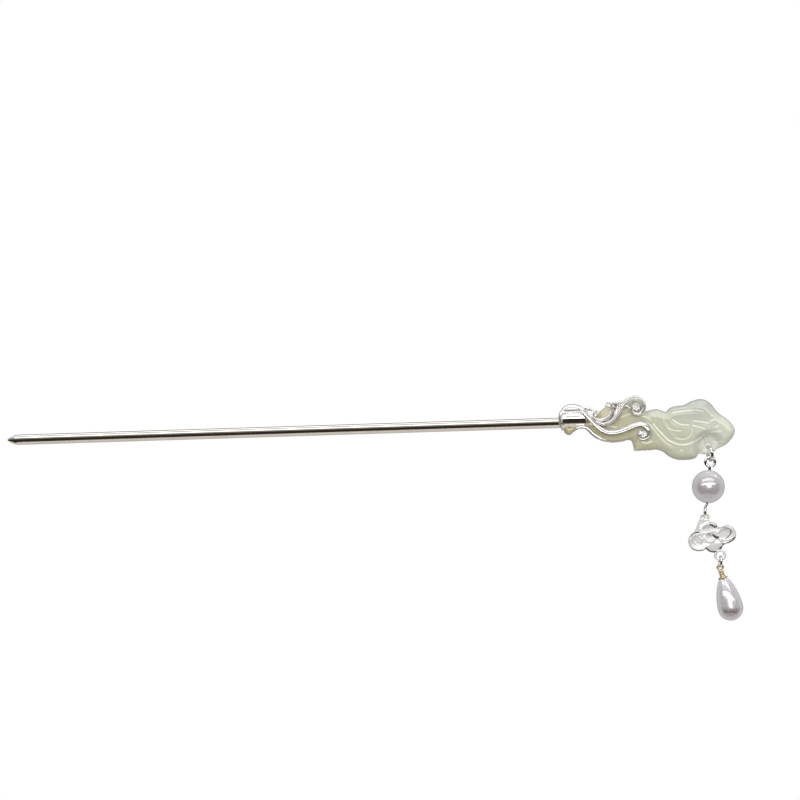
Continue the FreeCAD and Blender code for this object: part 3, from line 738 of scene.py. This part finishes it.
head = circle(EYE_MEAN, (0, 0, -EYE_MEAN), -60, 255, 60, "facing")
shaft = np.array([(-0.12, 0, -2.36), (-0.02, 0, -2.62), (0, 0, -2.95), (0, 0, -11.1), (-0.04, 0, -11.35),
                  (-0.22, 0, -11.7), (-0.33, 0.0, -11.95)])
foot_loop = circle(FOOT_LOOP_MEAN, (-0.35, 0, -13.25), 82, -250, 60, "edge")
wire_path = even(np.vstack([head, smooth_path(shaft, 6)]), 0.12)
wire_r = along(wire_path, (0, EYE_WIRE), (0.72, EYE_WIRE), (0.82, FOOT_LOOP_WIRE), (1, FOOT_LOOP_WIRE))
parts = [tube(place(PIN, wire_path), wire_r, 18), tube(place(PIN, foot_loop), FOOT_LOOP_WIRE, 18)]
add_piece("eye_pin_wire", parts, SILVER, "bead_pin", ["eye_pin"])


def pearl_profile(outer, hole, z0):
    """Sphere with softly broken edges at both ends of its drill hole."""
    start = math.asin((hole + 0.16) / outer)
    pts = [(hole, outer * math.cos(start) * 0.96), (hole + 0.02, outer * math.cos(start) - 0.06),
           (hole + 0.08, outer * math.cos(start) - 0.01)]
    pts += [(outer * math.sin(t), outer * math.cos(t)) for t in np.linspace(start, math.pi - start, 64)]
    pts += [(r, -z) for r, z in reversed(pts[:3])]
    return [(r, z + z0) for r, z in pts]


v, f = lathe(pearl_profile(PEARL_RADIUS, PEARL_BORE, PEARL_CENTRE), PIN, 128)
add_piece("round_pearl_bead", [(v, f)], PEARL, "bead", ["round_pearl"], 30)


# ---------------------------------------------------------------- flower connector

def to_charm(part):
    """A part of the charm in the part's frame, in its first material."""
    return place(CHARM, part[0]), part[1], 0


PETAL_EDGE = [(-0.8, 0.2), (-1.7, -0.3), (-2.6, -1.3), (-3.8, -2.4), (-4.9, -2.8), (-5.8, -3.6),
              (-6.1, -4.8), (-5.8, -6.0), (-4.8, -7.0), (-3.4, -7.4), (-2.7, -7.3), (-2.3, -8.0),
              (-1.5, -8.7), (-0.5, -9.0), (0.6, -8.8), (1.5, -8.1), (2.2, -7.9), (3.4, -8.0), (4.8, -7.6),
              (5.5, -6.6), (5.5, -5.2), (4.8, -4.2), (3.8, -3.7), (2.7, -3.8), (2.0, -3.3), (1.9, -2.5),
              (1.2, -1.8), (0.5, -1.4), (0.6, -0.7)]
# petal hollows: centre, half axes, tilt in degrees
RECESSES = [((3.2, -5.5), 1.9, 1.25, -12), ((-3.55, -4.75), 0.85, 1.5, 17), ((-0.2, -2.75), 1.65, 0.75, -6),
            ((-0.65, -4.7), 0.95, 0.78, 10)]
# raised petal rims: points, height, half width
RIDGES = [
    ([(1.1, -4.7), (2.4, -4.0), (4.0, -4.1), (5.1, -5.1), (5.2, -6.4), (4.3, -7.1), (2.6, -7.0), (1.3, -6.3)],
     0.42, 0.34),
    ([(5.2, -6.6), (4.6, -7.4), (3.3, -7.7), (1.9, -7.6)], 0.3, 0.25),
    ([(-2.4, -2.9), (-1.7, -2.0), (-0.2, -1.75), (1.2, -2.2), (1.65, -3.0), (1.3, -3.8)], 0.4, 0.26),
    ([(-2.2, -3.3), (-0.9, -3.65), (0.5, -3.8), (1.1, -4.5), (0.7, -5.5), (-0.4, -6.0), (-1.6, -5.6),
      (-2.0, -4.6)], 0.46, 0.28),
    ([(-4.4, -3.1), (-5.5, -4.0), (-5.6, -5.6), (-4.7, -6.6), (-3.3, -7.0), (-2.6, -6.6)], 0.42, 0.42),
    ([(-5.1, -3.0), (-3.7, -3.1), (-2.5, -3.4)], 0.3, 0.2),
    ([(-1.2, -0.3), (-2.2, -1.3), (-3.4, -2.3), (-4.8, -2.9)], 0.3, 0.25),
    ([(0.2, -4.9), (1.0, -5.2), (1.3, -5.6)], 0.34, 0.22),
]
# sunk lines between petals: points, depth, half width
CREASES = [
    ([(-2.5, -5.0), (-2.6, -6.7), (-1.9, -8.3)], 0.3, 0.16),
    ([(1.75, -6.6), (1.5, -7.5), (0.9, -8.4)], 0.3, 0.15),
    ([(1.7, -4.0), (2.2, -3.9)], 0.35, 0.2),
    ([(-2.9, -3.7), (-2.5, -4.6)], 0.25, 0.18),
]
# painted shade in the creases between and under the petals: points, strength, half width
PAINTED_SHADE_LINES = [
    ([(1.6, -7.75), (2.7, -7.9), (3.8, -7.8), (4.8, -7.3)], 1.0, 0.24),
    ([(4.6, -5.3), (4.1, -6.2), (2.9, -6.65)], 0.75, 0.15),
    ([(1.9, -3.75), (3.0, -3.85), (4.3, -4.6)], 0.7, 0.15),
    ([(0.5, -2.1), (1.4, -3.2), (1.8, -3.05)], 0.95, 0.2),
    ([(0.3, -4.85), (0.6, -5.5), (1.1, -5.75)], 1.0, 0.3),
    ([(-5.0, -2.85), (-4.0, -2.65), (-2.8, -2.9)], 0.9, 0.18),
    ([(-6.0, -5.7), (-4.9, -6.85), (-3.3, -7.35)], 0.9, 0.18),
    ([(-2.6, -7.1), (-1.8, -8.25), (-0.3, -8.95)], 1.0, 0.2),
    ([(0.1, -8.8), (1.2, -8.3)], 1.0, 0.34),
    ([(-0.8, -4.05), (-0.4, -4.8)], 0.6, 0.14),
]


def in_ellipse(p, centre, a, b, tilt):
    """0 at an ellipse's centre, 1 on its edge."""
    c, s = math.cos(math.radians(tilt)), math.sin(math.radians(tilt))
    x, z = p[:, 0] - centre[0], p[:, 1] - centre[1]
    return np.hypot((x * c + z * s) / a, (-x * s + z * c) / b)


def petal_front(p, depth):
    """Relief of the cast petals over their middle plane."""
    t = 0.44 * np.sqrt(1 - (1 - np.clip(depth / 0.35, 0, 1)) ** 2)
    inner = smooth_steps(depth / 0.4)
    for line, high, wide in RIDGES:
        t = t + high * inner * np.exp(-(line_distance(p, smooth_path(line, 8)) / wide) ** 2)
    for centre, a, b, tilt in RECESSES:
        t = t - 0.24 * smooth_steps((1.05 - in_ellipse(p, centre, a, b, tilt)) / 0.3) * inner
    dome = in_ellipse(p, (-0.55, -7.2), 1.7, 1.35, 0)
    t = t + 0.38 * np.sqrt(np.clip(1 - dome ** 2, 0, 1)) * inner
    for line, deep, wide in CREASES:
        t = t - deep * inner * np.exp(-(line_distance(p, smooth_path(line, 8)) / wide) ** 2)
    return np.clip(t, 0.0, 0.86) + 0.02 * (depth > 0)


edge = smooth_path(PETAL_EDGE, 6, closed=True)
v, f = plate(edge, 0.1, petal_front, lambda p, d: 0.62 * petal_front(p, d))
flat = v[:, [0, 2]]


def in_hollow(face):
    """Whether a face's middle lies inside a petal's hollow."""
    middle = flat[list(face)].mean(0)[None]
    return any(in_ellipse(middle, *r)[0] < 0.93 for r in RECESSES)


flower = []
for hollow in (False, True):
    chosen = [face for face in f if in_hollow(face) == hollow]
    flower.append((place(CHARM, v), chosen, int(hollow)))
# painted shade along those lines, carried to the shaders as a mesh attribute
painted_shade = np.zeros(len(v))
for line, strong, wide in PAINTED_SHADE_LINES:
    near = np.exp(-(line_distance(flat, smooth_path(line, 8)) / wide) ** 4)
    painted_shade = np.maximum(painted_shade, strong * near)
bail = circle(BAIL_MEAN, (0, 0, 0), 0, 360, 49, "facing")[:-1]
foot_ring = circle(CHARM_FOOT_MEAN, (0, 0, -CHARM_FOOT_DOWN), 0, 360, 49, "facing")[:-1]
flower.append(to_charm(tube(bail, BAIL_WIRE, 16, True)))
flower.append(to_charm(tube(foot_ring, CHARM_FOOT_WIRE, 16, True)))
flower.append(to_charm(ball((0, 0, -1.35), (0.62, 0.5, 0.5))))
flower.append(to_charm(ball((0, 0, -8.75), (0.8, 0.55, 0.4))))
charm = add_piece("flower_charm", flower, [CHARM_SILVER, RECESS], "charm", ["flower_connector"],
                  50)
whole = np.zeros(sum(len(part[0]) for part in flower))
whole[:2 * len(v)] = np.tile(painted_shade, 2)
charm.data.attributes.new("painted_shade", "FLOAT", "POINT").data.foreach_set("value", whole)


# ---------------------------------------------------------------- gold wire and drop pearl

eye = circle(GOLD_LOOP_MEAN, (0, 0, -GOLD_LOOP_MEAN), -70, 258, 48, "facing")
neck = smooth_path([(-0.1, 0, -1.38), (-0.02, 0, -1.6), (0, 0, -2.0), (0, 0, -4.4)], 8)
core = even(np.vstack([eye, neck]), 0.08)
turns, top_z, low_z = 3.4, -1.36, -3.2
t = np.linspace(0, 1, 150)
swing = 0.44 + 0.08 * np.sin(t * 17)
helix = np.stack([swing * np.cos(t * turns * 2 * math.pi), swing * np.sin(t * turns * 2 * math.pi),
                  top_z + (low_z - top_z) * t], 1)
t2 = np.linspace(0, 1, 60)
wide = 0.5 + 0.42 * smooth_steps(t2 * 2.2)
last = turns * 2 * math.pi
skirt = np.stack([wide * np.cos(last + t2 * 2.3 * math.pi), wide * np.sin(last + t2 * 2.3 * math.pi),
                  low_z - 0.32 * t2], 1)
coil = np.vstack([helix, skirt[1:]])
coil_wire = along(coil, (0, 0.2), (0.03, GOLD_WIRE), (1, GOLD_WIRE))
wires = [tube(core, GOLD_WIRE, 14), tube(coil, coil_wire, 14)]
parts = [(place(DROP, v_), f_) for v_, f_ in wires]
add_piece("wrapped_wire", parts, GOLD, "drop", ["wire_wrap"])

# radius of the flank's arc: it starts at the neck and is upright where it meets the belly's ball
flank = ((DROP_BELLY - DROP_TOP) ** 2 + (DROP_RADIUS - DROP_NECK) ** 2) / (2 * (DROP_RADIUS - DROP_NECK))
drop_profile = [(0.3, -DROP_TOP - 0.25), (0.32, -DROP_TOP - 0.06), (0.5, -DROP_TOP), (0.95, -DROP_TOP - 0.02),
                (1.12, -DROP_TOP - 0.09)]
for z in np.linspace(DROP_TOP + 0.25, DROP_BELLY, 40):
    drop_profile.append((DROP_RADIUS - flank + math.sqrt(flank ** 2 - (DROP_BELLY - z) ** 2), -z))
for a in np.linspace(0.06, math.pi / 2 - 0.02, 28):
    drop_profile.append((DROP_RADIUS * math.cos(a), -DROP_BELLY - DROP_RADIUS * math.sin(a)))
v, f = lathe(drop_profile, DROP, 112)
add_piece("drop_pearl_bead", [(v, f)], DROP_PEARL, "drop", ["drop_pearl"], 30)


# ---------------------------------------------------------------- floor, cards, light, camera

def sheet_of(name, corners, material):
    """One flat staging face."""
    mesh = bpy.data.meshes.new(name)
    mesh.from_pydata(corners, [], [tuple(range(len(corners)))])
    mesh.materials.append(material)
    obj = bpy.data.objects.new(name, mesh)
    bpy.context.scene.collection.objects.link(obj)


def floor_material():
    """Pale floor: it looks near white, and throws back a quieter, warmer light than it shows."""
    mat, tree, bsdf = nodes_of("floor_pale")
    bsdf.inputs["Base Color"].default_value = (0.62, 0.60, 0.57, 1)
    bsdf.inputs["Roughness"].default_value = 0.6
    shown = new(tree, "ShaderNodeEmission", Color=(0.90, 0.895, 0.88, 1), Strength=1.0)
    rays_ = new(tree, "ShaderNodeLightPath")
    either = new(tree, "ShaderNodeMixShader")
    tree.links.new(rays_.outputs["Is Camera Ray"], either.inputs["Fac"])
    tree.links.new(bsdf.outputs["BSDF"], either.inputs[1])
    tree.links.new(shown.outputs["Emission"], either.inputs[2])
    tree.links.new(either.outputs["Shader"], tree.nodes["Material Output"].inputs["Surface"])
    return mat


FLOOR_HALF, FLOOR_Z = 2, -0.35
sheet_of("floor", [(-FLOOR_HALF, -FLOOR_HALF, FLOOR_Z), (FLOOR_HALF, -FLOOR_HALF, FLOOR_Z),
                   (FLOOR_HALF, FLOOR_HALF, FLOOR_Z), (-FLOOR_HALF, FLOOR_HALF, FLOOR_Z)], floor_material())

FOCUS = np.array([0.0, 0.0, -0.01])
DARK = plain("flag_dark", (0.03, 0.019, 0.01), 0.9)


def flag(name, azimuths, low, high, reach, material):
    """Curved card round the object that shows only in reflections."""
    columns, rows = 24, 8
    az = np.radians(np.linspace(azimuths[0], azimuths[1], columns + 1))
    el = np.radians(np.linspace(low, high, rows + 1))
    verts_ = [FOCUS + reach * np.array([math.sin(a) * math.cos(e), -math.cos(a) * math.cos(e), math.sin(e)])
              for a in az for e in el]
    corners = [(i * (rows + 1) + k, (i + 1) * (rows + 1) + k) for i in range(columns) for k in range(rows)]
    faces_ = [(near, near + 1, far + 1, far) for near, far in corners]
    mesh = bpy.data.meshes.new(name)
    mesh.from_pydata([tuple(v_) for v_ in verts_], [], faces_)
    mesh.materials.append(material)
    obj = bpy.data.objects.new(name, mesh)
    bpy.context.scene.collection.objects.link(obj)
    obj.visible_camera = False
    obj.visible_shadow = False
    obj.visible_diffuse = False


flag("flag_front", (-85, 85), -48, 12.5, 0.42, DARK)


def softbox(name, azimuth, elevation, reach, size, power, colour=(1, 1, 1)):
    """Area light aimed at the object from a direction in degrees; metres and watts."""
    light = bpy.data.lights.new(name, "AREA")
    light.shape = "RECTANGLE"
    light.size, light.size_y = size
    light.energy, light.color = power, colour
    obj = bpy.data.objects.new(name, light)
    bpy.context.scene.collection.objects.link(obj)
    a, e = math.radians(azimuth), math.radians(elevation)
    away = Vector((math.sin(a) * math.cos(e), -math.cos(a) * math.cos(e), math.sin(e)))
    obj.location = Vector(FOCUS) + away * reach
    obj.rotation_euler = away.to_track_quat("Z", "Y").to_euler()
    return obj


bar_low = softbox("bar_low", 2, 20, 0.4, (1.7, 0.095), 2.1, (1.0, 0.985, 0.96))
softbox("bar_high", -3, 53, 0.8, (1.3, 0.30), 2.4)
softbox("top", 180, 79, 0.85, (1.6, 0.42), 2.6)
# the low bar is feathered off the plain stick, which would only mirror it as a second line
lit = bpy.data.collections.new("low_bar_receivers")
for obj in bpy.context.scene.collection.objects:
    if obj.type == "MESH" and obj.name != "stick_shaft":
        lit.objects.link(obj)
bar_low.light_linking.receiver_collection = lit
# a deeper card for the nacre alone, which spreads a highlight down to the belly of each pearl
pearl_card = softbox("pearl_card", 8, 3, 0.4, (0.5, 0.17), 0.7)
pearl_card.visible_diffuse = False
nacre = bpy.data.collections.new("pearl_card_receivers")
for name in ("round_pearl_bead", "drop_pearl_bead"):
    nacre.objects.link(bpy.data.objects[name])
pearl_card.light_linking.receiver_collection = nacre

# white all round to the camera, softer as a light, so the pale stones keep their tone
WORLD_DIFFUSE, WORLD_GLOSSY = 0.50, 0.27
world = bpy.data.worlds.new("studio")
bpy.context.scene.world = world
world.use_nodes = True
tree = world.node_tree
back = tree.nodes["Background"]
rays = new(tree, "ShaderNodeLightPath")
shine = new(tree, "ShaderNodeMapRange", To_Min=WORLD_DIFFUSE, To_Max=WORLD_GLOSSY)
tree.links.new(rays.outputs["Is Glossy Ray"], shine.inputs["Value"])
strength = new(tree, "ShaderNodeMath", operation="MAXIMUM")
tree.links.new(rays.outputs["Is Camera Ray"], strength.inputs[0])
tree.links.new(shine.outputs["Result"], strength.inputs[1])
back.inputs["Color"].default_value = (1, 1, 1, 1)
tree.links.new(strength.outputs["Value"], back.inputs["Strength"])

bpy.context.scene.view_settings.view_transform = "Standard"

# long lens straight in front, rolled so that the stick slopes 1 in 32 across the picture
LENS, SENSOR, VIEW_WIDTH = 300.0, 36.0, 0.1939
ROLL = math.atan(1 / 32)
camera = bpy.data.cameras.new("camera")
camera.lens, camera.sensor_width = LENS, SENSOR
cam = bpy.data.objects.new("camera", camera)
bpy.context.scene.collection.objects.link(cam)
distance = VIEW_WIDTH / 2 / math.tan(math.atan(SENSOR / 2 / LENS))
cam.location = (-0.0391, -distance, 0.00675)
cam.rotation_euler = (math.pi / 2, ROLL, 0)
bpy.context.scene.camera = cam
